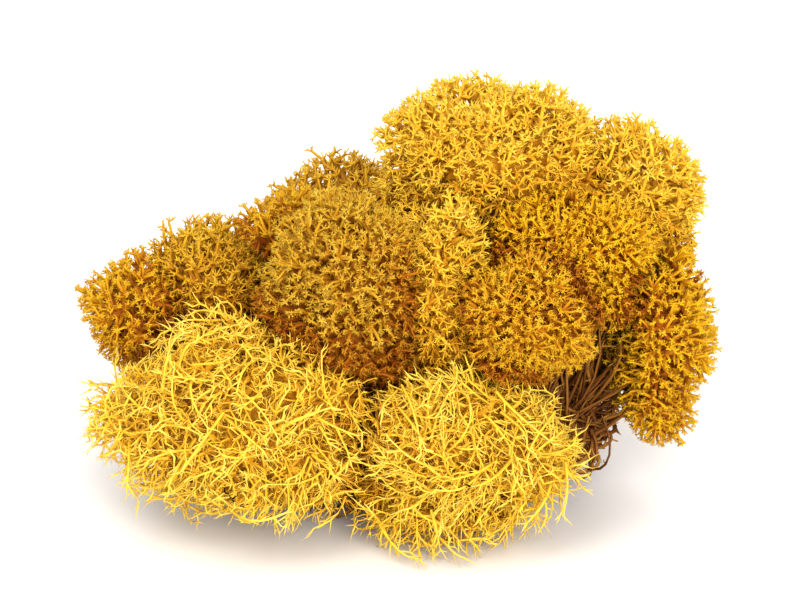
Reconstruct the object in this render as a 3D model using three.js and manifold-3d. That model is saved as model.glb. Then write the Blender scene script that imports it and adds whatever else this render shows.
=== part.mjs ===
// A clump of reindeer moss, which is a bushy lichen, dyed golden yellow.
//
// The clump is a handful of lichen bushes grown together. Each bush ends in a rounded head, which is a
// thicket of short branches that fork at their ends into little stars. Below the heads the old, bare
// stems are felted into one mat, which carries the heads and lies on its own small flat spot.
//
// Millimetres, +Z up, X along the clump's longest side, origin at the middle of the clump on the surface.
import * as THREE from "three";
import { mergeVertices } from "three/addons/utils/BufferGeometryUtils.js";
import { ConvexHull } from "three/addons/math/ConvexHull.js";
import Module from "manifold-3d";

const wasm = await Module();
wasm.setup();

// ---- Driving dimensions ----
const GAP = 0.3; // clear space between two neighbouring pieces
const REACH = 4.9; // how far the branch tips stand out of a head's core, at most
const REACH_SHARE = 0.4; // the same in the smallest heads, as a share of their radius
const LUMP = 0.16; // how much a head swells and dips, as a share of its radius
const BRANCH_SPACING = 6.1; // between neighbouring branches, at their tips
const BARE_SPACING = 8; // between the corners of the core where it is hidden
const BASE_RADIUS = 1.2; // radius of a branch at the core
const FORK_RADIUS = 1.15; // the same, where it forks
const FORK_HEIGHT = [0.35, 0.6]; // where a branch forks, as a share of its reach
const FORK_SPREAD = [1.6, 2.9]; // how far a fork's prongs spread from its axis
const LEAN = 1; // how far a branch leans sideways, at most
const HEART_RISE = 0.15; // how far the middle of a fork rises between its prongs
const SHORTEST = 0.6; // a branch or prong that would be shorter than this is left out
const SIDE_SPACING = 3.9; // side branches, joined on where a head is cut flat: between their feet
const SIDE_RADIUS = 1.8; // their radius at the root
const SIDE_SINK = 1; // how deep the root is sunk in
const SIDE_REACH = [1, 0.8]; // the lengths that are tried, as shares of the head's reach
const SIDE_ROOM = 1.25; // the clear room that they need, as a multiple of their size
const FLOOR = 1; // no head reaches lower than this
const PLAN_CENTRE = [2.716, 0.76]; // middle of the finished clump, in the coordinates below

// The mat of old stems under the heads: an oval mound with a flat foot.
const MAT = { centre: [2, 1, 11], radii: [31, 22, 14] };
const STEM_RADIUS = 0.8;
const STEM_SPACING = 7.5; // between neighbouring stems, where they leave the mat
const STEM_SPAN = [8, 15]; // between the two ends of a stem
const STEM_RISE = [1, 4]; // how far it stands out of the mat

// The heads. Each has the centre and the three radii of the oval that its branch tips reach.
const YELLOW = "#d8a838";
const GOLD = "#d29a1a";
const GOLDEN_OCHRE = "#c38919";
const OCHRE = "#b28024";
const DULL_YELLOW = "#c28d2a";
const STRAW = "#d1a246";
const HEADS = [
  { name: "crest_head", colour: YELLOW, centre: [17.5, 8, 44.5], radii: [19, 15, 15] },
  { name: "shoulder_head", colour: YELLOW, centre: [35.5, 7, 39], radii: [12.5, 13, 13] },
  { name: "middle_head", colour: YELLOW, centre: [9, -9.5, 32], radii: [11, 12.5, 17.5] },
  { name: "golden_dome_head", colour: GOLD, centre: [26.5, -6.5, 38], radii: [14, 12.5, 10.5] },
  { name: "front_ball_head", colour: GOLDEN_OCHRE, centre: [20, -17, 33.5], radii: [11, 11, 11] },
  { name: "ochre_dome_head", colour: OCHRE, centre: [-4, -12, 33.5], radii: [15, 14, 16] },
  { name: "orange_bud_head", colour: GOLDEN_OCHRE, centre: [-13, 2, 37], radii: [8.5, 8, 8] },
  { name: "left_shoulder_head", colour: DULL_YELLOW, centre: [-23.5, 1, 28], radii: [14, 13, 11.5] },
  { name: "left_ball_head", colour: GOLDEN_OCHRE, centre: [-35, -3, 28], radii: [9, 10, 9] },
  { name: "back_left_head", colour: DULL_YELLOW, centre: [-3, 15, 29], radii: [16, 16, 14] },
  { name: "back_right_head", colour: YELLOW, centre: [20, 19, 23], radii: [18, 16, 19] },
  { name: "right_side_head", colour: GOLD, centre: [40.5, -3, 24], radii: [8.5, 14, 16] },
  { name: "straw_front_head", colour: STRAW, centre: [-19, -18, 18], radii: [22, 15, 15.5] },
  { name: "straw_right_head", colour: STRAW, centre: [11, -20.5, 14.5], radii: [18, 13, 15.5] },
  { name: "back_low_head", colour: GOLDEN_OCHRE, centre: [-21, 15, 15], radii: [19, 16, 15] },
];

// ---- Chance, the same on every run ----
function seeded(seed) {
  let state = seed >>> 0;
  return () => {
    state = (state + 0x6d2b79f5) >>> 0;
    let t = state;
    t = Math.imul(t ^ (t >>> 15), t | 1);
    t ^= t + Math.imul(t ^ (t >>> 7), t | 61);
    return ((t ^ (t >>> 14)) >>> 0) / 4294967296;
  };
}
const between = (chance, [low, high]) => low + (high - low) * chance();

function anyDirection(chance) {
  const z = between(chance, [-1, 1]);
  const turn = between(chance, [0, 2 * Math.PI]);
  const flat = Math.sqrt(1 - z * z);
  return new THREE.Vector3(flat * Math.cos(turn), flat * Math.sin(turn), z);
}

// Directions spread evenly over a ball, each a little out of place.
function spreadDirections(count, chance) {
  const golden = Math.PI * (3 - Math.sqrt(5));
  const jitter = 0.7 / Math.sqrt(count);
  return Array.from({ length: count }, (_, i) => {
    const z = 1 - (2 * i + 1) / count;
    const flat = Math.sqrt(1 - z * z);
    const place = new THREE.Vector3(flat * Math.cos(golden * i), flat * Math.sin(golden * i), z);
    return place.addScaledVector(anyDirection(chance), jitter).normalize();
  });
}

const sideways = (outward, chance) => anyDirection(chance).projectOnPlane(outward);

// ---- From three.js geometry to a solid and back ----
function solidFrom(positions, faces) {
  return new wasm.Manifold(
    new wasm.Mesh({
      numProp: 3,
      vertProperties: new Float32Array(positions),
      triVerts: new Uint32Array(faces),
    }),
  );
}

function solidOf(geometry) {
  const welded = mergeVertices(geometry.clone().deleteAttribute("normal").deleteAttribute("uv"), 1e-4);
  return solidFrom(welded.attributes.position.array, welded.index.array);
}

function geometryOf(solid) {
  const mesh = solid.getMesh();
  const geometry = new THREE.BufferGeometry();
  geometry.setAttribute("position", new THREE.BufferAttribute(mesh.vertProperties, 3));
  geometry.setIndex(new THREE.BufferAttribute(mesh.triVerts, 1));
  geometry.computeVertexNormals();
  return geometry;
}

// The largest body of a solid: cuts can leave scraps.
function largest(solid) {
  return solid.decompose().reduce((best, body) => (body.volume() > best.volume() ? body : best));
}

// ---- Lumpy ovals ----
// The point of a lumpy oval in a direction from its centre, moved out by a distance.
function onOval(direction, oval, outBy) {
  const { x, y, z } = direction;
  const { phase } = oval;
  const wave = Math.sin(4.9 * x + phase) * Math.cos(4.3 * y - phase) + Math.sin(5.1 * z + 2 * (phase + x));
  const swelling = 1 + (LUMP * wave) / 2;
  return direction.clone().set(
    oval.centre[0] + x * (oval.radii[0] * swelling + outBy),
    oval.centre[1] + y * (oval.radii[1] * swelling + outBy),
    oval.centre[2] + z * (oval.radii[2] * swelling + outBy),
  );
}

function ovalBall(oval, outBy) {
  const ball = new THREE.IcosahedronGeometry(1, 2);
  const corners = ball.attributes.position;
  for (let i = 0; i < corners.count; i++) {
    const direction = new THREE.Vector3().fromBufferAttribute(corners, i).normalize();
    corners.setXYZ(i, ...onOval(direction, oval, outBy).toArray());
  }
  return solidOf(ball);
}

function isInside(point, oval, share) {
  const [x, y, z] = point.toArray().map((value, k) => (value - oval.centre[k]) / oval.radii[k]);
  return Math.hypot(x, y, z) < share;
}

// ---- One head ----
// Where branches grow on a head, and the bare places of the core between it and its neighbours.
function sitesOn(head, chance, isFree) {
  const [width, depth, height] = head.radii;
  const area = (4 * Math.PI * (width * depth + depth * height + height * width)) / 3;
  const count = Math.round(area / (0.87 * BRANCH_SPACING ** 2));
  const sites = spreadDirections(count, chance).map((direction) => {
    const tip = onOval(direction, head, 0);
    return { direction, tip, grows: isFree(onOval(direction, head, -head.reach), tip) };
  });
  const kept = sites.filter((site) => site.grows);
  for (const site of sites.filter((other) => !other.grows)) {
    if (kept.every((other) => other.tip.distanceTo(site.tip) > BARE_SPACING)) kept.push(site);
  }
  return kept;
}

// The corners of the core: three round each branch, and one at each bare place.
function coreCorners(head, sites, chance) {
  const tilt = (3 * BASE_RADIUS) / (head.radii[0] + head.radii[1] + head.radii[2] - 3 * head.reach);
  return sites.flatMap((site) => {
    if (!site.grows) return [{ site, direction: site.direction }];
    const side = sideways(site.direction, chance).setLength(tilt);
    return [0, 1, 2].map((k) => {
      const arm = side.clone().applyAxisAngle(site.direction, (2 * Math.PI * k) / 3);
      return { site, direction: site.direction.clone().add(arm).normalize() };
    });
  });
}

// The triangles between points spread over a ball, as lists of three numbers of points.
function trianglesBetween(directions) {
  const order = new Map(directions.map((direction, i) => [direction, i]));
  return new ConvexHull().setFromPoints(directions).faces.map(({ edge }) =>
    [edge, edge.next, edge.prev].map((side) => order.get(side.head().point)),
  );
}

// A branch on a triangle of the core: it narrows to a fork, where it splits into three pointed prongs.
// Where a neighbour leaves it no room, the triangle stays bare.
function growBranch(positions, base, outward, reach, chance, keepClear) {
  const corners = base.map((i) => new THREE.Vector3().fromArray(positions, 3 * i));
  const root = corners[0].clone().add(corners[1]).add(corners[2]).divideScalar(3);
  const out = (share) => root.clone().addScaledVector(outward, reach * share);
  const leaning = (point) => point.addScaledVector(sideways(outward, chance), LEAN);
  const heightOf = (point) => point.clone().sub(root).dot(outward);
  const arms = corners.map((corner) => corner.clone().sub(root).projectOnPlane(outward).normalize());
  const middle = keepClear(leaning(out(between(chance, FORK_HEIGHT))), FORK_RADIUS);
  const tips = arms.map((arm, i) => {
    const way = arm.clone().add(arms[(i + 1) % 3]).setLength(between(chance, FORK_SPREAD));
    return keepClear(leaning(out(between(chance, [0.8, 1.15]))).add(way), 0.15);
  });
  const prongs = tips.map((tip) => heightOf(tip) - heightOf(middle));
  if (Math.min(heightOf(middle), ...prongs) < SHORTEST) return base;

  const add = (point) => positions.push(...point.toArray()) / 3 - 1;
  const ring = arms.map((arm) => add(middle.clone().addScaledVector(arm, FORK_RADIUS)));
  const heart = add(middle.clone().addScaledVector(outward, HEART_RISE));
  return [0, 1, 2].flatMap((i) => {
    const next = (i + 1) % 3;
    const tip = add(tips[i]);
    return [
      [base[i], base[next], ring[next]],
      [base[i], ring[next], ring[i]],
      [ring[i], ring[next], tip],
      [ring[next], heart, tip],
      [heart, ring[i], tip],
    ].flat();
  });
}

// The flat borders between a head and its neighbours: each head keeps to its own side of them.
function bordersOf(head) {
  const own = new THREE.Vector3(...head.centre);
  const radiusTowards = ({ radii }, { x, y, z }) => 1 / Math.hypot(x / radii[0], y / radii[1], z / radii[2]);
  return HEADS.filter((other) => other !== head).map((other) => {
    const way = new THREE.Vector3(...other.centre).sub(own);
    const distance = way.length();
    way.divideScalar(distance);
    const [mine, theirs] = [radiusTowards(head, way), radiusTowards(other, way)];
    const share = (distance * distance + mine * mine - theirs * theirs) / (2 * distance);
    return { way, limit: own.dot(way) + share - GAP / 2 };
  });
}

// A head's solid, and the feet of the branches that grew on it.
function headSolid(head, index, matClearance) {
  const chance = seeded(1000 + 37 * index);
  const borders = bordersOf(head);
  const feet = [];
  const isFree = (root, tip) =>
    borders.every(({ way, limit }) => root.dot(way) < limit - 0.8 && tip.dot(way) < limit + 4) &&
    !isInside(root, MAT, 1.08) &&
    tip.z > FLOOR;
  const keepClear = (point, by) => {
    for (const { way, limit } of borders) {
      point.addScaledVector(way, Math.min(0, limit - by - point.dot(way)));
    }
    return point.setZ(Math.max(point.z, FLOOR + by));
  };
  const corners = coreCorners(head, sitesOn(head, chance, isFree), chance);
  const positions = corners.flatMap(({ direction }) => onOval(direction, head, -head.reach).toArray());
  const faces = trianglesBetween(corners.map(({ direction }) => direction)).flatMap((facet) => {
    const [site, ...others] = facet.map((i) => corners[i].site);
    const isBase = site.grows && others.every((other) => other === site);
    if (!isBase) return facet;
    const branch = growBranch(positions, facet, site.direction, head.reach, chance, keepClear);
    if (branch.length > facet.length) feet.push(onOval(site.direction, head, -head.reach));
    return branch;
  });
  const cut = borders.reduce(
    (solid, { way, limit }) => solid.trimByPlane(way.clone().negate().toArray(), -limit),
    solidFrom(positions, faces),
  );
  return { solid: largest(cut.trimByPlane([0, 0, 1], FLOOR).subtract(matClearance)), feet };
}

// A closed branch of its own, which stands on a triangle round its root.
function looseBranch(root, outward, reach, chance) {
  const side = sideways(outward, chance).setLength(SIDE_RADIUS);
  const positions = [0, 1, 2].flatMap((k) => {
    const arm = side.clone().applyAxisAngle(outward, (2 * Math.PI * k) / 3);
    return root.clone().add(arm).toArray();
  });
  const faces = growBranch(positions, [0, 1, 2], outward, reach, chance, (point) => point);
  return solidFrom(positions, [...faces, 0, 2, 1]);
}

// Where a side branch stands, on the core or on the flat side that cuts it, and which way it points.
function sideFoot(head, direction, borders) {
  const centre = new THREE.Vector3(...head.centre);
  const ray = onOval(direction, head, -head.reach).sub(centre);
  const cuts = borders.map(({ way, limit }) => ({ way, share: (limit - centre.dot(way)) / ray.dot(way) }));
  const [cut] = cuts.filter(({ share }) => share > 0 && share < 1).sort((a, b) => a.share - b.share);
  const foot = centre.addScaledVector(ray, cut ? cut.share : 1);
  const outward = ray.normalize();
  return { foot, outward: cut ? outward.add(cut.way).normalize() : outward };
}

function hasRoom(branch, root, others) {
  const backToRoot = root.toArray().map((value) => value * (1 - SIDE_ROOM));
  const room = branch.scale(SIDE_ROOM).translate(backToRoot);
  return branch.boundingBox().min[2] > FLOOR && others.every((other) => other.intersect(room).isEmpty());
}

// A head with side branches, which stand where it is cut flat but in view, if the others leave them room.
function withSideBranches(head, index, { solid, feet }, others) {
  const chance = seeded(5000 + 37 * index);
  const borders = bordersOf(head);
  const neighbours = [...HEADS.filter((other) => other !== head), MAT];
  const tries = Math.round((40 * head.radii[0] * head.radii[2]) / SIDE_SPACING ** 2);
  const pieces = [solid];
  for (const direction of spreadDirections(tries, chance)) {
    const { foot, outward } = sideFoot(head, direction, borders);
    const middle = foot.clone().addScaledVector(outward, head.reach / 2);
    const isCovered = neighbours.some((oval) => isInside(middle, oval, 0.8));
    if (isCovered || feet.some((other) => other.distanceTo(foot) < SIDE_SPACING)) continue;
    const root = foot.clone().addScaledVector(outward, -SIDE_SINK);
    const lengths = SIDE_REACH.map((share) => share * head.reach + SIDE_SINK);
    const branches = lengths.map((length) => looseBranch(root, outward, length, chance));
    const fitting = branches.find((branch) => hasRoom(branch, root, others));
    if (!fitting) continue;
    pieces.push(fitting);
    feet.push(foot);
  }
  return largest(wasm.Manifold.union(pieces));
}

// ---- The mat of old stems ----
function oldStem(path, radius) {
  const round = new THREE.Shape([0, 1, 2].map((k) => {
    const turn = (2 * Math.PI * k) / 3;
    return new THREE.Vector2(radius * Math.cos(turn), radius * Math.sin(turn));
  }));
  return solidOf(new THREE.ExtrudeGeometry(round, { steps: 3, extrudePath: path, bevelEnabled: false }));
}

// A mound with stems that rise out of it and bend back in, wherever the heads leave room.
function matSolid(heads) {
  const chance = seeded(77);
  let solid = ovalBall(MAT, 0);
  const starts = [];
  for (const direction of spreadDirections(900, chance)) {
    const start = onOval(direction, MAT, -1);
    const way = sideways(direction, chance).setLength(between(chance, STEM_SPAN) / MAT.radii[0]);
    const end = onOval(direction.clone().add(way).normalize(), MAT, -1);
    const rise = 2 * between(chance, STEM_RISE);
    const top = onOval(direction.clone().addScaledVector(way, 0.5).normalize(), MAT, rise);
    const path = new THREE.QuadraticBezierCurve3(start, top, end);
    const room = oldStem(path, STEM_RADIUS + 2 * GAP);
    const fits =
      Math.min(start.z, top.z, end.z) > 1 + STEM_RADIUS &&
      starts.every((other) => other.distanceTo(start) > STEM_SPACING) &&
      heads.every((head) => head.intersect(room).isEmpty());
    if (fits) {
      solid = solid.add(oldStem(path, STEM_RADIUS));
      starts.push(start);
    }
  }
  return largest(solid.trimByPlane([0, 0, 1], 0));
}

// ---- The clump ----
function piece(name, solid, colour) {
  const material = new THREE.MeshStandardMaterial({ color: colour, roughness: 0.95, metalness: 0 });
  const mesh = new THREE.Mesh(geometryOf(solid), material);
  mesh.name = name;
  return mesh;
}

MAT.phase = 0.4;
HEADS.forEach((head, index) => {
  head.phase = 1.7 * index;
  head.reach = Math.min(REACH, REACH_SHARE * Math.min(...head.radii));
});
const matClearance = ovalBall(MAT, GAP);
const grown = HEADS.map((head, index) => headSolid(head, index, matClearance));
const heads = grown.map(({ solid }) => solid);
HEADS.forEach((head, index) => {
  const others = [matClearance, ...heads.filter((_, other) => other !== index)];
  heads[index] = withSideBranches(head, index, grown[index], others);
});
const clump = new THREE.Group();
HEADS.forEach(({ name, colour }, index) => clump.add(piece(name, heads[index], colour)));
clump.add(piece("old_stem_mat", matSolid(heads), "#7a4a1c"));
clump.position.set(-PLAN_CENTRE[0], -PLAN_CENTRE[1], 0);

export default clump;
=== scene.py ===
# A clump of reindeer moss, dyed golden yellow: rounded bushy heads of a branching lichen, grown together
# on a felt of their own old stems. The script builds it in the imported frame, in the order it is put
# together: the surface and light, the heads colour by colour, then the mat of old stems under them.
import math

import bpy
import numpy as np
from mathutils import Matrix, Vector


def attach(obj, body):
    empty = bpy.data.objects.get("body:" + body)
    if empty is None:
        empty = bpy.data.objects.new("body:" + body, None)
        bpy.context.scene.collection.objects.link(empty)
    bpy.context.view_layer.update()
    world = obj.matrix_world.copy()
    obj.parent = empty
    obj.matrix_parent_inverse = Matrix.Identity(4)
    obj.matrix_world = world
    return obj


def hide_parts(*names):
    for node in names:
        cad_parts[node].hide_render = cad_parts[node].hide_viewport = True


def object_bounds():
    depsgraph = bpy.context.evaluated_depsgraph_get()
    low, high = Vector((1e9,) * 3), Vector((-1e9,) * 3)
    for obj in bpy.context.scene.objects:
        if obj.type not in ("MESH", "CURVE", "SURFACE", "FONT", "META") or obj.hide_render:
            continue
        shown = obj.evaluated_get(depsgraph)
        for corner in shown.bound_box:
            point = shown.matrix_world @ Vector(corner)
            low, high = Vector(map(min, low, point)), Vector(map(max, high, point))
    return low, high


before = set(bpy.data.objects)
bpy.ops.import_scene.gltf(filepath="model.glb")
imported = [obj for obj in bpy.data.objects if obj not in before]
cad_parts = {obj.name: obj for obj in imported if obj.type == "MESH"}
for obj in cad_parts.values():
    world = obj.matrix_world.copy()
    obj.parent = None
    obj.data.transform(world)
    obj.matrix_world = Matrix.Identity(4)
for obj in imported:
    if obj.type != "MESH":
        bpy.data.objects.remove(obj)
cad_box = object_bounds()

# ---- Surface, light and camera ----
# The clump stands on a plain pale surface that runs out of sight, under a pale sky and three large soft
# lamps, as on a photographer's table: one at the upper left, one in front that fills the shadows, and a
# weaker one behind.
FLOOR_SIDE = 6.0
LIGHT_AIM = Vector((0, 0, 0.03))
floor_mesh = bpy.data.meshes.new("floor")
reach = FLOOR_SIDE / 2
floor_corners = [(-reach, -reach, 0), (reach, -reach, 0), (reach, reach, 0), (-reach, reach, 0)]
floor_mesh.from_pydata(floor_corners, [], [(0, 1, 2, 3)])
floor = bpy.data.objects.new("floor", floor_mesh)
bpy.context.collection.objects.link(floor)
floor_material = bpy.data.materials.new("pale_surface")
floor_material.use_nodes = True
floor_shader = floor_material.node_tree.nodes["Principled BSDF"]
floor_shader.inputs["Base Color"].default_value = (0.80, 0.785, 0.76, 1)
floor_shader.inputs["Roughness"].default_value = 0.6
floor_mesh.materials.append(floor_material)

bpy.context.scene.view_settings.view_transform = "Standard"
world = bpy.data.worlds.new("pale_sky")
world.use_nodes = True
world.node_tree.nodes["Background"].inputs["Color"].default_value = (0.93, 0.96, 1.0, 1)
world.node_tree.nodes["Background"].inputs["Strength"].default_value = 1.0
bpy.context.scene.world = world


def soft_light(name, place, width, power, colour):
    lamp = bpy.data.lights.new(name, "AREA")
    lamp.shape = "DISK"
    lamp.size = width
    lamp.energy = power
    lamp.color = colour
    holder = bpy.data.objects.new(name, lamp)
    holder.location = place
    holder.rotation_euler = (LIGHT_AIM - Vector(place)).to_track_quat("-Z", "Y").to_euler()
    bpy.context.collection.objects.link(holder)


soft_light("key_light", (-0.3, -0.4, 0.75), 0.5, 4.6, (1.0, 0.97, 0.93))
soft_light("fill_light", (0.3, -0.9, 0.5), 0.7, 10.8, (1.0, 0.99, 0.97))
soft_light("back_light", (0.2, 0.7, 0.6), 0.4, 4.0, (1.0, 0.98, 0.95))

CAMERA_ELEVATION = math.radians(26.7)
CAMERA_DISTANCE = 1.17
CAMERA_LENS = 365.0
camera_aim = Vector((0.0, 0.0, 0.0275))
camera = bpy.data.objects.new("camera", bpy.data.cameras.new("camera"))
camera.data.lens = CAMERA_LENS
camera_side = Vector((0, -math.cos(CAMERA_ELEVATION), math.sin(CAMERA_ELEVATION)))
camera.location = camera_aim + CAMERA_DISTANCE * camera_side
camera.rotation_euler = (camera_aim - camera.location).to_track_quat("-Z", "Y").to_euler()
bpy.context.collection.objects.link(camera)
bpy.context.scene.camera = camera

# ---- Crest, right shoulder and the pale heads beside them ----
# The youngest growth, at the top and back. Each head is a thicket of hollow branches that fork again and
# again and end in little stars of short, pointed, forked twigs, pale yellow at the tips, golden further in.
MM = 0.001
PLAN_CENTRE = np.array([2.716, 0.76, 0.0])
LOWEST_BRANCH = 0.8
LOWEST_HEART = 1.2

# Each head's oval: its centre and three radii in millimetres, before PLAN_CENTRE comes to the origin.
OVALS = {
    "crest_head": ((17.5, 8, 44.5), (19, 15, 15)),
    "shoulder_head": ((35.5, 7, 39), (12.5, 13, 13)),
    "middle_head": ((9, -9.5, 32), (11, 12.5, 17.5)),
    "golden_dome_head": ((26.5, -6.5, 38), (14, 12.5, 10.5)),
    "front_ball_head": ((20, -17, 33.5), (11, 11, 11)),
    "ochre_dome_head": ((-4, -12, 33.5), (15, 14, 16)),
    "orange_bud_head": ((-13, 2, 37), (8.5, 8, 8)),
    "left_shoulder_head": ((-23.5, 1, 28), (14, 13, 11.5)),
    "left_ball_head": ((-35, -3, 28), (9, 10, 9)),
    "back_left_head": ((-3, 15, 29), (16, 16, 14)),
    "back_right_head": ((20, 19, 23), (18, 16, 19)),
    "right_side_head": ((40.5, -3, 24), (8.5, 14, 16)),
    "straw_front_head": ((-19, -18, 18), (22, 15, 15.5)),
    "straw_right_head": ((11, -20.5, 14.5), (18, 13, 15.5)),
    "back_low_head": ((-21, 15, 15), (19, 16, 15)),
    "old_stem_mat": ((2, 1, 11), (31, 22, 14)),
}

# The oval's surface swells and dips in waves, by up to this share, which start at the head's own phase.
SWELLING = 0.16
PHASE_STEP = 1.7
PHASES = {name: PHASE_STEP * order for order, name in enumerate(OVALS)} | {"old_stem_mat": 0.4}


def unit(vectors):
    return vectors / np.maximum(np.linalg.norm(vectors, axis=-1, keepdims=True), 1e-9)


def oval_of(name):
    centre, radii = OVALS[name]
    return np.array(centre, float), np.array(radii, float), PHASES[name]


def swelling(direction, phase):
    """How far out a head's surface lies in each direction, as a share of its oval."""
    x, y, z = direction.T
    wave = np.sin(4.9 * x + phase) * np.cos(4.3 * y - phase) + np.sin(5.1 * z + 2 * (phase + x))
    return 1 + SWELLING * wave / 2


def depth_below(name, places):
    """How many millimetres places lie below the surface of that head."""
    centre, radii, phase = oval_of(name)
    scaled = (places - centre) / radii
    direction = unit(scaled)
    radius = np.linalg.norm(direction * radii, axis=1)
    return (swelling(direction, phase) - np.linalg.norm(scaled, axis=1)) * radius


def depth_below_others(name, places):
    return np.max([depth_below(other, places) for other in OVALS if other != name], axis=0)


def outward_at(name, places):
    centre, radii, _ = oval_of(name)
    return unit((places - centre) / radii**2)


def any_directions(chance, count):
    return unit(chance.normal(size=(count, 3)))


def keep_apart(places, spacing):
    """The numbers of places that are left when any nearer than spacing to an earlier one goes."""
    cells = {}
    kept = []
    corner = np.floor(places / spacing).astype(int)
    steps = [(i, j, k) for i in (-1, 0, 1) for j in (-1, 0, 1) for k in (-1, 0, 1)]
    for number, (place, (x, y, z)) in enumerate(zip(places.tolist(), corner.tolist())):
        near = (cells.get((x + i, y + j, z + k)) for i, j, k in steps)
        if all(math.dist(place, other) >= spacing for cell in near if cell for other in cell):
            cells.setdefault((x, y, z), []).append(place)
            kept.append(number)
    return np.array(kept, int)


def places_in_shell(name, chance, depths, spacing):
    """Places spread through one shell of a head, where no neighbouring head covers them."""
    tries_for_each = 26
    centre, radii, phase = oval_of(name)
    tries = int(tries_for_each * (radii**2).sum() * (depths[1] - depths[0]) / spacing**3)
    direction = any_directions(chance, tries)
    depth = chance.uniform(*depths, (tries, 1))
    places = centre + direction * (radii * swelling(direction, phase)[:, None] - depth)
    free = depth_below(name, places) > depth_below_others(name, places)
    places = places[free & (places[:, 2] > LOWEST_BRANCH)]
    return places[keep_apart(places, spacing)]


def nearest(places, others):
    """The number of the nearest of the others to each place, some hundred places at a time."""
    batch = 500
    found = np.empty(len(places), int)
    for start in range(0, len(places), batch):
        gaps = np.linalg.norm(places[start : start + batch, None] - others[None], axis=2)
        found[start : start + batch] = gaps.argmin(axis=1)
    return found


def stretch(values, low, high):
    """0 up to low, 1 from high on, and a smooth rise between them."""
    share = np.clip((values - low) / (high - low), 0, 1)
    return share * share * (3 - 2 * share)


class Branches:
    """Collects three-sided tapering tubes and makes one mesh of them, with each tube's age and tone as
    its place on the map: age across and tone up. A tube's sides differ a little in tone, so that each
    face covers some of the map."""

    TONE_WIDTH = 0.005
    MAP_MARGIN = 0.012
    BOX_MARGIN = 0.1 * MM

    def __init__(self):
        self.corners, self.faces, self.marks, self.count = [], [], [], 0

    def collect(self, corners, marks, faces):
        self.corners.append(corners.reshape(-1, 3))
        self.marks.append(marks.reshape(-1, 2))
        self.faces.append(faces.reshape(-1, 3) + self.count)
        self.count += corners.size // 3

    def add(self, lines, radii, ages, tones, chance, pointed=False):
        """lines: (branch, ring, 3) middles; radii and ages: (branch, ring); tones: (branch,)."""
        branches, rings = lines.shape[:2]
        way = unit(np.gradient(lines, axis=1))
        side = unit(np.cross(way, any_directions(chance, branches)[:, None]))
        other = np.cross(way, side)
        turn = np.arange(3) * 2 * math.pi / 3
        round_it = side[:, :, None] * np.cos(turn)[:, None] + other[:, :, None] * np.sin(turn)[:, None]
        corners = (lines[:, :, None] + radii[:, :, None, None] * round_it).reshape(branches, -1, 3)
        tone_of_corner = tones[:, None, None] + self.TONE_WIDTH * np.array([-1, 0, 1])
        marks = np.stack(np.broadcast_arrays(ages[:, :, None], tone_of_corner), axis=-1)
        marks = marks.reshape(branches, -1, 2)
        if pointed:
            corners = np.concatenate([corners[:, :-3], lines[:, -1:]], axis=1)
            marks = marks[:, :-2]
        quad_rings = rings - 2 if pointed else rings - 1
        first = 3 * np.arange(quad_rings)[:, None] + np.arange(3)
        after = 3 * np.arange(quad_rings)[:, None] + (np.arange(3) + 1) % 3
        halves = [(first, after, after + 3), (first, after + 3, first + 3)]
        faces = [np.stack(half, axis=-1).reshape(-1, 3) for half in halves]
        if pointed:
            last = 3 * quad_rings
            faces.append(np.array([[last + k, last + (k + 1) % 3, last + 3] for k in range(3)]))
        faces = np.concatenate(faces)
        start = np.arange(branches)[:, None, None] * corners.shape[1]
        self.collect(corners, marks, faces[None] + start)

    def mesh(self, name):
        corners = (np.concatenate(self.corners) - PLAN_CENTRE) * MM
        low, high = (np.array(corner) for corner in cad_box)
        corners = np.clip(corners, low + self.BOX_MARGIN, high - self.BOX_MARGIN)
        faces = np.concatenate(self.faces)
        marks = np.clip(np.concatenate(self.marks), self.MAP_MARGIN, 1 - self.MAP_MARGIN)
        mesh = bpy.data.meshes.new(name)
        mesh.from_pydata(corners, [], faces)
        layer = mesh.uv_layers.new(name="OFBake")
        order = np.empty(len(mesh.loops), np.int32)
        mesh.loops.foreach_get("vertex_index", order)
        layer.uv.foreach_set("vector", marks[order].astype(np.float32).ravel())
        mesh.polygons.foreach_set("use_smooth", np.ones(len(faces), bool))
        mesh.update()
        return mesh


def bent_lines(starts, start_ways, ends, end_ways, rings, curl, chance):
    """Curves from starts to ends that leave and arrive in the given directions, with a little curl."""
    span = np.linalg.norm(ends - starts, axis=1, keepdims=True)
    pull = 0.36 * span
    sway = curl * span * any_directions(chance, len(starts))
    t = np.linspace(0, 1, rings)[None, :, None]
    a, b, c, d = (1 - t) ** 3, 3 * t * (1 - t) ** 2, 3 * t * t * (1 - t), t**3
    after_start, before_end = starts + start_ways * pull + sway, ends - end_ways * pull + sway
    return a * starts[:, None] + b * after_start[:, None] + c * before_end[:, None] + d * ends[:, None]


def tapered(count, rings, first, last):
    """A row of even steps from first to last for each of count branches."""
    return np.tile(np.linspace(first, last, rings), (count, 1))


def patchiness(places):
    """A smooth pattern from 0 to 1 with patches about a centimetre across."""
    x, y, z = places.T * 0.45
    return 0.5 + 0.25 * (np.sin(x + 1.3 * np.sin(0.8 * y)) * np.cos(y + z) + np.sin(1.7 * z - 0.9 * x + y))


def age_and_painted_shade(name, places, crevice_painted_shade, crevice_shade_width, low_age_and_shade):
    """How far the lichen's colour is darkened towards old brown: painted shade in the crevices between
    heads, where that side of the head doesn't face up, and low down and underneath older, browner growth
    together with painted shade."""
    centre, radii, _ = oval_of(name)
    upward = stretch(outward_at(name, places)[:, 2], 0.1, 0.8)
    # Painted shade in the crevices that don't face up; low down, older growth and painted shade together.
    crevice = stretch(depth_below_others(name, places), -crevice_shade_width, 0.2) * (1 - 0.85 * upward)
    low = stretch((centre - places)[:, 2] / radii[2], -0.15, 0.95)
    return np.clip(crevice_painted_shade * crevice + low_age_and_shade * low, 0, 1)


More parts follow.
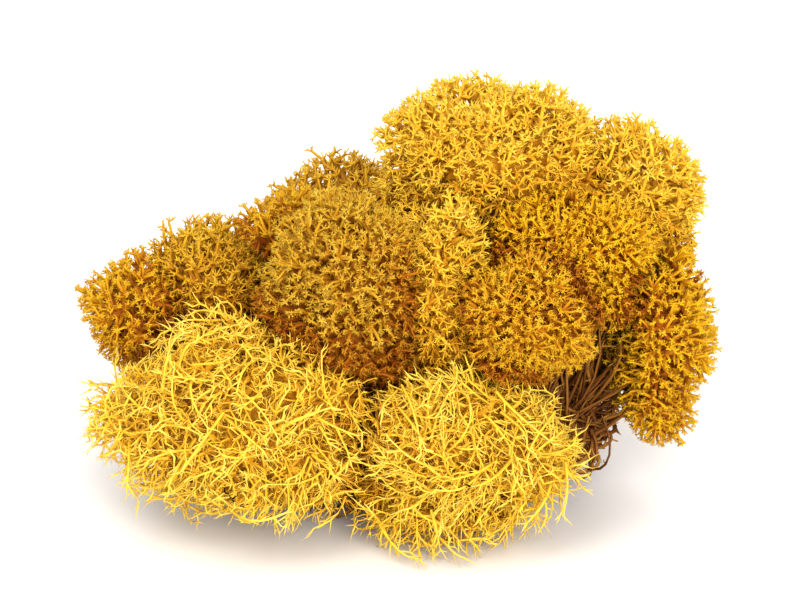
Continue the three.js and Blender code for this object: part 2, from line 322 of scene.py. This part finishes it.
def add_heart(branches, name, depth, chance):
    """The tangle of old branches in the middle of a head, too dense and dark to see into: a lumpy ball
    that bristles with short points wherever it can be seen between the branches. Its dark colour is
    partly the old branches' own brown and partly painted shade for the thicket's shadowed depth."""
    centre, radii, phase = oval_of(name)
    across, around = 36, 54
    pole, crumpling, point_lengths = 0.02, 0.5, (0.8, 2.2)
    steep = np.linspace(pole, math.pi - pole, across)[:, None]
    turn = np.linspace(0, 2 * math.pi, around, endpoint=False)[None]
    grid = np.broadcast_arrays(np.sin(steep) * np.cos(turn), np.sin(steep) * np.sin(turn), np.cos(steep))
    direction = np.stack(grid, axis=-1).reshape(-1, 3)
    crumple = chance.uniform(-crumpling, crumpling, (len(direction), 1))
    corners = centre + direction * (radii * swelling(direction, phase)[:, None] - depth + crumple)
    corners[:, 2] = np.maximum(corners[:, 2], LOWEST_HEART)
    row = np.arange(across - 1)[:, None] * around
    column, after = np.arange(around)[None], (np.arange(around)[None] + 1) % around
    patches = np.stack([row + column, row + around + column, row + around + after, row + after], axis=-1)
    patches = patches.reshape(-1, 4)
    middles = corners[patches].mean(axis=1)
    bristly = (depth_below_others(name, middles) < depth) & (middles[:, 2] > LOWEST_HEART + 0.3)
    plain, patches, middles = patches[~bristly], patches[bristly], middles[bristly]
    outward = outward_at(name, middles) + 0.7 * any_directions(chance, len(middles))
    points = middles + outward * chance.uniform(*point_lengths, (len(middles), 1))
    numbers = len(corners) + np.arange(len(points))
    sides = [np.stack([patches[:, k], patches[:, (k + 1) % 4], numbers], axis=-1) for k in range(4)]
    faces = np.concatenate([plain[:, [0, 1, 2]], plain[:, [0, 2, 3]], *sides])
    # Low ages give the heart its dark colour: the old branches' brown and painted shade of the thicket's
    # depth.
    ages = np.concatenate([chance.uniform(0.05, 0.3, len(corners)), chance.uniform(0.35, 0.65, len(points))])
    tones = chance.uniform(0.2, 0.3, len(ages))
    branches.collect(np.concatenate([corners, points]), np.stack([ages, tones], axis=-1), faces)


def lean_of_tufts(places):
    """A smooth field of directions, in which neighbouring branches lean the same way."""
    x, y, z = places.T * 0.3
    return np.stack([np.sin(1.3 * y + z), np.cos(1.1 * z - 0.7 * x + 1), np.sin(x + 0.8 * y - z)], axis=1)


def grow_head(name, seed, spacing, twig_length, twig_radius, curl=0.1, spread=(0.35, 1.2), depths=(0.5, 2.9),
              twigs=5, crevice_painted_shade=0.9, crevice_shade_width=3.2, low_age_and_shade=0.3, rings=3, forks=1, combed=0.2,
              tuft=4.5, groove=1.3):
    """One head, grown from its heart outwards: boughs, inner stars of twigs and, at the surface, stars
    of forked twigs. Lengths are in millimetres and angles in radians. depths: how far below the oval the
    outer stars' middles lie; spread: how far their twigs lean out; tuft: the width of the tufts that the
    stars gather in; groove: how deep the dips between tufts are; combed: how far neighbours lean alike."""
    chance = np.random.default_rng(seed)
    centre, radii, _ = oval_of(name)
    branches = Branches()

    # The inner stars' shell is 2.2 mm thick, or less in a head with less than 13 mm of room. The boughs end
    # about half-way to the surface, and start low in the head.
    room = min(radii)
    inner_depth = depths[1] + min(1.0, room / 13) * 2.2
    stars = places_in_shell(name, chance, depths, spacing)
    inner_stars = places_in_shell(name, chance, (depths[1] + 0.2, inner_depth), 1.25 * spacing)
    boughs = places_in_shell(name, chance, (0.48 * room, 0.62 * room), 2.9 * spacing)
    stem_root = np.array([centre - (0, 0, 0.35 * radii[2])])

    # Stars far from the middle of their tuft sink into the dip between tufts.
    tufts = places_in_shell(name, chance, (0, 0.6), tuft)
    aside = stars - tufts[nearest(stars, tufts)]
    up = outward_at(name, stars)
    aside -= up * np.sum(aside * up, axis=1, keepdims=True)
    valley = stretch(np.linalg.norm(aside, axis=1), 0.2 * tuft, 0.75 * tuft)[:, None]
    stars -= up * groove * valley
    add_heart(branches, name, inner_depth + 1.6, chance)

    def link(outer, inner, thick, thin, rings, age, lean=0, shade=0):
        """A branch to each outer place from the nearest inner one."""
        parent = nearest(outer, inner)
        start_ways = unit(outward_at(name, inner[parent]) + 0.5 * unit(outer - inner[parent]))
        end_ways = outward_at(name, outer) + 0.45 * any_directions(chance, len(outer))
        end_ways = unit(end_ways + combed * lean_of_tufts(outer) + lean)
        lines = bent_lines(inner[parent], start_ways, outer, end_ways, rings, curl, chance)
        # Painted shade: in crevices, in dips between tufts and low down, branches get lower ages and tones,
        # so darker colours.
        aged_and_shaded = np.clip(age_and_painted_shade(name, outer, crevice_painted_shade, crevice_shade_width, low_age_and_shade) + shade, 0, 1)
        tones = (0.5 * patchiness(outer) + 0.5 * chance.random(len(outer))) * (1 - 0.35 * aged_and_shaded)
        ages = tapered(len(outer), rings, *age) * (1 - 0.6 * aged_and_shaded)[:, None]
        branches.add(lines, tapered(len(outer), rings, thick, thin), ages, tones, chance)
        return end_ways, tones, aged_and_shaded

    def add_star(middles, ways, tones, aged_and_shaded, arms, ages, rings, forks):
        """A star of pointed twigs around the end of each branch, each twig with its forks."""
        count = len(middles)
        side = unit(np.cross(ways, any_directions(chance, count)))
        other = np.cross(ways, side)
        youth_and_light = (1 - 0.5 * aged_and_shaded)[:, None]
        for arm in range(arms):
            turn = 2 * math.pi * (arm + chance.uniform(-0.3, 0.3, count)) / arms
            out = np.cos(turn)[:, None] * side + np.sin(turn)[:, None] * other
            lean = chance.uniform(*spread, (count, 1))
            way = unit(np.cos(lean) * ways + np.sin(lean) * out)
            ends = middles + way * chance.uniform(*twig_length, (count, 1))
            tip_ways = unit(way + 0.7 * outward_at(name, ends) + 0.35 * any_directions(chance, count))
            lines = bent_lines(middles, way, ends, tip_ways, rings, curl, chance)
            thickness = chance.uniform(*twig_radius, (count, 1))
            twig_radii = tapered(count, rings, 1, 0.6) * thickness
            tone = np.clip(tones + chance.uniform(-0.12, 0.12, count), 0, 1)
            branches.add(lines, twig_radii, tapered(count, rings, *ages) * youth_and_light, tone, chance, pointed=True)
            for _ in range(forks):
                root = lines[:, rings // 2] if rings > 2 else lines[:, 0] * 0.55 + lines[:, 1] * 0.45
                rest = lines[:, -1] - root
                fork_way = unit(unit(rest) + 0.9 * unit(np.cross(way, any_directions(chance, count))))
                length = np.linalg.norm(rest, axis=1, keepdims=True) * chance.uniform(0.7, 1.1, (count, 1))
                fork = np.stack([root, root + fork_way * length], axis=1)
                fork_radii = tapered(count, 2, 0.75, 0) * thickness
                fork_ages = tapered(count, 2, (ages[0] + ages[1]) / 2, ages[1]) * youth_and_light
                branches.add(fork, fork_radii, fork_ages, tone, chance, pointed=True)

    # From the heart outwards. Branches in a dip bend away from their tuft and are coloured darker with
    # painted shade.
    stem = twig_radius[1]
    link(boughs, stem_root, 0.9, 0.7, 6, (0.0, 0.14))
    ways, tones, aged_and_shaded = link(inner_stars, boughs, 0.6, 0.42, 3, (0.16, 0.5))
    add_star(inner_stars, ways, tones, aged_and_shaded, 5, (0.42, 0.82), 2, 0)
    outwards = 0.7 * valley * unit(aside)
    ways, tones, aged_and_shaded = link(
        stars, inner_stars, 1.9 * stem, 1.35 * stem, 3, (0.42, 0.7), outwards, 0.3 * valley[:, 0]
    )
    add_star(stars, ways, tones, aged_and_shaded, twigs, (0.62, 1.0), rings, forks)
    return branches


class Socket:
    """Wraps a node's output so that shader maths can be written as Python expressions."""

    def __init__(self, tree, socket):
        self.tree, self.socket = tree, socket

    def node(self, kind, settings=(), output=0, **inputs):
        """Adds a node of that kind, sets its settings and its sockets, and wraps one of its outputs."""
        made = self.tree.nodes.new(kind)
        for setting, value in dict(settings).items():
            if setting == "stops":
                while len(made.color_ramp.elements) < len(value):
                    made.color_ramp.elements.new(1.0)
                for stop, (position, colour) in zip(made.color_ramp.elements, value):
                    stop.position, stop.color = position, (*colour, 1)
            else:
                setattr(made, setting, value)
        for key, value in inputs.items():
            slot = made.inputs[int(key[1:]) if key[1:].isdigit() else key.replace("_", " ")]
            if isinstance(value, Socket):
                self.tree.links.new(value.socket, slot)
            else:
                slot.default_value = value
        return Socket(self.tree, made.outputs[output])

    def maths(self, operation, first, second):
        return self.node("ShaderNodeMath", {"operation": operation}, i0=first, i1=second)

    def __add__(self, other):
        return self.maths("ADD", self, other)

    def __sub__(self, other):
        return self.maths("SUBTRACT", self, other)

    def __rsub__(self, other):
        return self.maths("SUBTRACT", other, self)

    def __mul__(self, other):
        return self.maths("MULTIPLY", self, other)

    __radd__, __rmul__ = __add__, __mul__


def lichen_material(name, dull, pale, roughness):
    """Dyed lichen. dull and pale: colours of an old, a middling, a young branch and a tip. The age of a
    branch, lowered where painted shade falls, is read across the map and its tone up it: low tones are dull
    and deep, high ones pale."""
    grain_stretch = (22, 260, 1)
    grain_depth = 0.05 * MM
    dead_share = (0.6, 0.36, 0.3)
    specular_level = 0.14
    material = bpy.data.materials.new(name)
    material.use_nodes = True
    tree = material.node_tree
    shader = tree.nodes["Principled BSDF"]
    marks = Socket(tree, None).node("ShaderNodeUVMap", {"uv_map": "OFBake"})
    age = marks.node("ShaderNodeSeparateXYZ", i0=marks)
    tone = marks.node("ShaderNodeSeparateXYZ", output=1, i0=marks)
    stretched = marks.node("ShaderNodeVectorMath", {"operation": "MULTIPLY"}, i0=marks, i1=grain_stretch)
    grain = marks.node("ShaderNodeTexNoise", i0=stretched, Scale=1.0, Detail=3.0)
    flecks = marks.node("ShaderNodeTexNoise", i0=stretched, Scale=0.35, Detail=2.0)

    def over_age(colours):
        aged_and_shaded, middling, young, tip = colours
        dead = [share * part for share, part in zip(dead_share, aged_and_shaded)]
        stops = [(0.0, dead), (0.34, aged_and_shaded), (0.6, middling), (0.84, young), (1.0, tip)]
        return age.node("ShaderNodeValToRGB", {"stops": stops}, i0=age)

    adding = {"operation": "ADD", "use_clamp": True}
    pale_share = tone.node("ShaderNodeMath", adding, i0=1.25 * tone - 0.3, i1=0.35 * grain)
    inks = {"i0": pale_share, "i6": over_age(dull), "i7": over_age(pale)}
    mixed = tone.node("ShaderNodeMix", {"data_type": "RGBA"}, output=2, **inks)
    lit = mixed.node("ShaderNodeVectorMath", {"operation": "SCALE"}, i0=mixed, Scale=0.7 + 0.6 * flecks)
    tree.links.new(lit.socket, shader.inputs["Base Color"])
    tree.links.new((roughness + 0.3 * (grain - 0.5) - 0.12 * age).socket, shader.inputs["Roughness"])
    bump = grain.node("ShaderNodeBump", Strength=0.5, Distance=grain_depth, Height=grain)
    tree.links.new(bump.socket, shader.inputs["Normal"])
    shader.inputs["Specular IOR Level"].default_value = specular_level
    return material


def place_piece(name, node, branches, material):
    mesh = branches.mesh(name)
    mesh.materials.append(material)
    piece = bpy.data.objects.new(name, mesh)
    bpy.context.collection.objects.link(piece)
    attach(piece, "root")
    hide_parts(node)


def place_head(node, branches, material):
    place_piece(node.replace("_head", "_thicket"), node, branches, material)


pale_yellow = lichen_material(
    "pale_yellow_lichen",
    [(0.6, 0.26, 0.008), (0.75, 0.42, 0.018), (0.81, 0.5, 0.03), (0.84, 0.57, 0.07)],
    [(0.68, 0.34, 0.012), (0.8, 0.49, 0.03), (0.85, 0.58, 0.06), (0.88, 0.66, 0.17)],
    0.72,
)
# Each head with the distance between its outer stars.
pale_heads = {"crest_head": 1.45, "shoulder_head": 1.45, "middle_head": 1.45, "back_right_head": 1.85}
for seed, (name, spacing) in enumerate(pale_heads.items()):
    branches = grow_head(name, seed, spacing, (1.0, 1.9), (0.14, 0.2), curl=0.18, spread=(0.3, 1.2),
                         crevice_painted_shade=0.6, low_age_and_shade=0.15)
    place_head(name, branches, pale_yellow)

# ---- Golden dome and the tall head at the right ----
# Fine, tightly branched heads in the most saturated golden yellow, made of short twigs that stand close
# together. Each has grown out of the mat on its own stem, up against the crest and the shoulder.
gold = lichen_material(
    "golden_lichen",
    [(0.3, 0.065, 0.002), (0.66, 0.32, 0.004), (0.76, 0.43, 0.006), (0.8, 0.49, 0.012)],
    [(0.42, 0.12, 0.003), (0.73, 0.39, 0.006), (0.81, 0.5, 0.01), (0.86, 0.58, 0.03)],
    0.74,
)
# Each head with the distance between its outer stars, and how wide the painted shade beside its neighbours
# is.
golden_heads = {"golden_dome_head": (1.08, 3.2), "right_side_head": (1.32, 1.8)}
for seed, (name, (spacing, crevice_shade_width)) in enumerate(golden_heads.items(), 10):
    branches = grow_head(name, seed, spacing, (0.6, 1.05), (0.11, 0.15), crevice_painted_shade=1.15,
                         crevice_shade_width=crevice_shade_width, low_age_and_shade=0.2, rings=2, forks=2, tuft=3.2, groove=0.5)
    place_head(name, branches, gold)

# ---- The small balls and the low head at the back ----
# Small round heads, very finely branched, in a duller, deeper gold. The balls sit between the larger heads,
# and the low head closes the clump at the back; all of them have grown out of the mat.
golden_ochre = lichen_material(
    "golden_ochre_lichen",
    [(0.38, 0.1, 0.003), (0.6, 0.28, 0.005), (0.69, 0.37, 0.009), (0.74, 0.44, 0.022)],
    [(0.46, 0.15, 0.004), (0.66, 0.34, 0.008), (0.74, 0.45, 0.017), (0.79, 0.53, 0.055)],
    0.76,
)
small_heads = {
    "front_ball_head": 1.12,
    "orange_bud_head": 1.25,
    "left_ball_head": 1.25,
    "back_low_head": 1.7,
}
for seed, (name, spacing) in enumerate(small_heads.items(), 20):
    branches = grow_head(name, seed, spacing, (0.65, 1.1), (0.11, 0.16), crevice_painted_shade=1.0, rings=2, forks=2,
                         tuft=3.4, groove=0.6)
    place_head(name, branches, golden_ochre)

# ---- Ochre dome ----
# The broad head left of the middle: the oldest of the finely branched ones, so its twigs are browner all
# over, and red-brown at its base, where it has grown together with the straw heads, with painted shade
# added there too.
ochre = lichen_material(
    "ochre_lichen",
    [(0.34, 0.09, 0.002), (0.52, 0.25, 0.008), (0.61, 0.35, 0.018), (0.68, 0.43, 0.042)],
    [(0.44, 0.16, 0.004), (0.59, 0.33, 0.015), (0.68, 0.44, 0.036), (0.78, 0.56, 0.11)],
    0.78,
)
# Strongly darker low down: older growth and painted shade.
branches = grow_head("ochre_dome_head", 30, 1.3, (0.8, 1.3), (0.12, 0.17), low_age_and_shade=0.9, rings=2, forks=2,
                     tuft=4.0, groove=1.1)
place_head("ochre_dome_head", branches, ochre)

# ---- Left shoulder and the head behind it ----
# Duller yellow heads with longer twigs, less tightly branched than the domes, that carry the clump down to
# the left and to the back. They have grown together with the dome's side.
dull_yellow = lichen_material(
    "dull_yellow_lichen",
    [(0.38, 0.13, 0.003), (0.54, 0.26, 0.007), (0.63, 0.35, 0.015), (0.71, 0.45, 0.036)],
    [(0.46, 0.19, 0.005), (0.62, 0.34, 0.013), (0.72, 0.46, 0.03), (0.8, 0.58, 0.09)],
    0.76,
)
dull_heads = {"left_shoulder_head": 1.5, "back_left_head": 1.65}
for seed, (name, spacing) in enumerate(dull_heads.items(), 40):
    branches = grow_head(name, seed, spacing, (0.9, 1.7), (0.13, 0.18), curl=0.18, crevice_painted_shade=0.85)
    place_head(name, branches, dull_yellow)

# ---- Straw heads ----
# The low heads at the front: a coarser, open form of the lichen in pale straw, with twigs twice as long as
# the other heads' and long curling strands that lie over them and have grown out between them.
straw = lichen_material(
    "straw_lichen",
    [(0.62, 0.28, 0.01), (0.79, 0.45, 0.022), (0.86, 0.54, 0.04), (0.9, 0.62, 0.08)],
    [(0.72, 0.38, 0.016), (0.85, 0.53, 0.035), (0.92, 0.64, 0.075), (0.94, 0.73, 0.19)],
    0.7,
)


def add_strands(branches, name, spacing, seed, half_lengths, radii, paleness):
    """Long strands that lie over a head, each with side twigs that bend towards its tip. Those that
    would stand out too far, or run into a neighbour, are left out."""
    highest, deepest_in_others, rings = 2.2, 1.2, 6
    chance = np.random.default_rng(seed)
    middles = places_in_shell(name, chance, (0.4, 2.6), spacing)
    outward = outward_at(name, middles)
    lie = unit(1.2 * lean_of_tufts(middles) + 0.8 * any_directions(chance, len(middles)))
    lie = unit(lie - outward * np.sum(lie * outward, axis=1, keepdims=True))
    half_length = chance.uniform(*half_lengths, (len(middles), 1))
    roots = middles - lie * half_length - outward * chance.uniform(1.5, 3.0, (len(middles), 1))
    tips = middles + lie * half_length + outward * chance.uniform(-0.8, 1.4, (len(middles), 1))
    tip_ways = unit(lie + chance.uniform(-0.9, 0.9, (len(middles), 1)) * outward)
    lines = bent_lines(roots, unit(lie + 0.8 * outward), tips, tip_ways, rings, 0.16, chance)
    depths = depth_below(name, lines.reshape(-1, 3)).reshape(len(lines), -1)
    buried = depth_below_others(name, lines.reshape(-1, 3)).reshape(len(lines), -1)
    loose = (depths.min(axis=1) > -highest) & (buried.max(axis=1) < deepest_in_others)
    lines = lines[loose & (lines[:, :, 2].min(axis=1) > LOWEST_BRANCH)]
    count = len(lines)
    tones = np.clip(0.3 * patchiness(lines[:, 3]) + chance.uniform(0.0, 0.6, count) + paleness, 0, 1)
    thickness = chance.uniform(*radii, (count, 1))
    strand_radii, strand_ages = tapered(count, rings, 1, 0.45) * thickness, tapered(count, rings, 0.45, 0.9)
    branches.add(lines, strand_radii, strand_ages, tones, chance)
    for ring in (1, 2, 3, 4, 5, 5):
        way = unit(lines[:, ring] - lines[:, ring - 1])
        aside = unit(np.cross(way, any_directions(chance, count)) + 0.5 * outward_at(name, lines[:, ring]))
        root_ways, tip_ways = unit(way + 1.6 * aside), unit(way + 0.4 * aside)
        ends = lines[:, ring] + unit(way + aside) * chance.uniform(1.2, 3.2, (count, 1))
        twigs = bent_lines(lines[:, ring], root_ways, ends, tip_ways, 3, 0.12, chance)
        twig_ages = tapered(count, 3, 0.5 + 0.06 * ring, 1.0)
        branches.add(twigs, tapered(count, 3, 0.65, 0) * thickness, twig_ages, tones, chance, pointed=True)


for seed, name in enumerate(["straw_front_head", "straw_right_head"], 50):
    branches = grow_head(name, seed, 1.95, (1.8, 3.8), (0.12, 0.19), curl=0.3, spread=(0.3, 1.35),
                         depths=(0.8, 4.4), twigs=4, crevice_painted_shade=0.6, low_age_and_shade=0.15, rings=4, combed=0.8,
                         tuft=6.5, groove=2.0)
    add_strands(branches, name, 2.4, seed + 20, (1.6, 3.8), (0.2, 0.3), 0.1)
    add_strands(branches, name, 4.6, seed + 40, (3.4, 5.4), (0.27, 0.36), 0.4)
    place_head(name, branches, straw)

# ---- Mat of old stems ----
# The felted foot of the clump: dead, bare, red-brown stems of earlier years, tangled together and pressed
# flat where the clump lies on the surface.
old_stem = lichen_material(
    "old_stems",
    [(0.12, 0.035, 0.005), (0.24, 0.085, 0.012), (0.36, 0.145, 0.02), (0.46, 0.22, 0.035)],
    [(0.2, 0.07, 0.01), (0.36, 0.15, 0.02), (0.5, 0.25, 0.04), (0.62, 0.36, 0.08)],
    0.84,
)
STEM_RINGS = 7
LOWEST_STEM = 0.6
chance = np.random.default_rng(60)
felt = Branches()
# The mat's lumpy heart, dark with old stems and with painted shade.
add_heart(felt, "old_stem_mat", 3.2, chance)


def add_old_stems(lines, radii, rings_with_branchlets, lengths):
    """Bare stems with broken branchlets at some of their rings."""
    count = (len(lines), 1)
    thickness = tapered(len(lines), STEM_RINGS, 1, 0.6) * chance.uniform(*radii, count)
    ages = tapered(len(lines), STEM_RINGS, 0.3, 0.8) * chance.uniform(0.6, 1.2, count)
    tones = chance.random(len(lines))
    felt.add(lines, thickness, ages, tones, chance)
    for ring in rings_with_branchlets:
        way = unit(lines[:, ring + 1] - lines[:, ring])
        branch_ways = unit(way + unit(np.cross(way, any_directions(chance, len(lines)))))
        ends = lines[:, ring] + branch_ways * chance.uniform(*lengths, count)
        branchlets = bent_lines(lines[:, ring], branch_ways, ends, way, 3, 0.2, chance)
        branchlets[:, :, 2] = np.maximum(branchlets[:, :, 2], LOWEST_STEM - 0.1)
        slimmer = 0.7 * thickness[:, ring : ring + 1] * (1, 0.7, 0)
        felt.add(branchlets, slimmer, ages[:, -3:], tones, chance, pointed=True)


# The felt itself: stems that lie along the mat and dip into it at both ends.
roots = places_in_shell("old_stem_mat", chance, (0.3, 4.5), 1.8)
outward = outward_at("old_stem_mat", roots)
along = unit(np.cross(outward, any_directions(chance, len(roots))))
length = chance.uniform(4, 10, (len(roots), 1))
bulge = chance.uniform(-1.0, 1.6, (len(roots), 1))
starts, ends = (roots + side * along * length / 2 - outward * 1.5 for side in (-1, 1))
for row in (starts, ends):
    row[:, 2] = np.maximum(row[:, 2], LOWEST_STEM + 0.3)
lines = bent_lines(starts, unit(along + outward), ends, unit(along - outward), STEM_RINGS, 0.2, chance)
arch = np.sin(np.linspace(0, math.pi, STEM_RINGS))
lines += outward[:, None] * bulge[:, None] * arch[None, :, None]
lines[:, :, 2] = np.maximum(lines[:, :, 2], LOWEST_STEM)
add_old_stems(lines, (0.22, 0.48), (2, 4), (0.8, 2.4))

# Bare stems that rise from the mat into the heads, kept where they can be seen between them and don't
# stand out of the clump: inside an oval that lies a little below its outermost branches.
mat_centre, mat_radii, _ = oval_of("old_stem_mat")
within_centre, within_radii = np.array([5.0, 0.0, 20.0]), np.array([34.5, 21.5, 24.0])
heads = [name for name in OVALS if name != "old_stem_mat"]
risers = []
for name in heads:
    ends = places_in_shell(name, chance, (0.8, 4.5), 2.1)
    ends = ends[outward_at(name, ends)[:, 2] < 0.2]
    rise = unit((ends - mat_centre) / mat_radii * (1, 1, 0.2)) + 0.25 * any_directions(chance, len(ends))
    starts = mat_centre + 0.85 * mat_radii * unit(rise)
    starts[:, 2] = np.maximum(starts[:, 2] - 2, 2)
    rise[:, 2] += 0.9
    end_ways = unit(any_directions(chance, len(ends)) + (0, 0, 0.6))
    risers.append(bent_lines(starts, unit(rise), ends, end_ways, STEM_RINGS, 0.18, chance))
lines = np.concatenate(risers)
within = np.linalg.norm((lines - within_centre) / within_radii, axis=2).max(axis=1) < 1
depths = [depth_below(name, lines.reshape(-1, 3)).reshape(len(lines), -1) for name in OVALS]
most_open = np.max(depths, axis=0)[:, 1:-1].min(axis=1)
lines = lines[within & (most_open < 0.5) & (most_open > -5)]
add_old_stems(lines, (0.22, 0.46), (3, 4, 5), (1.0, 3.0))
place_piece("old_stem_felt", "old_stem_mat", felt, old_stem)
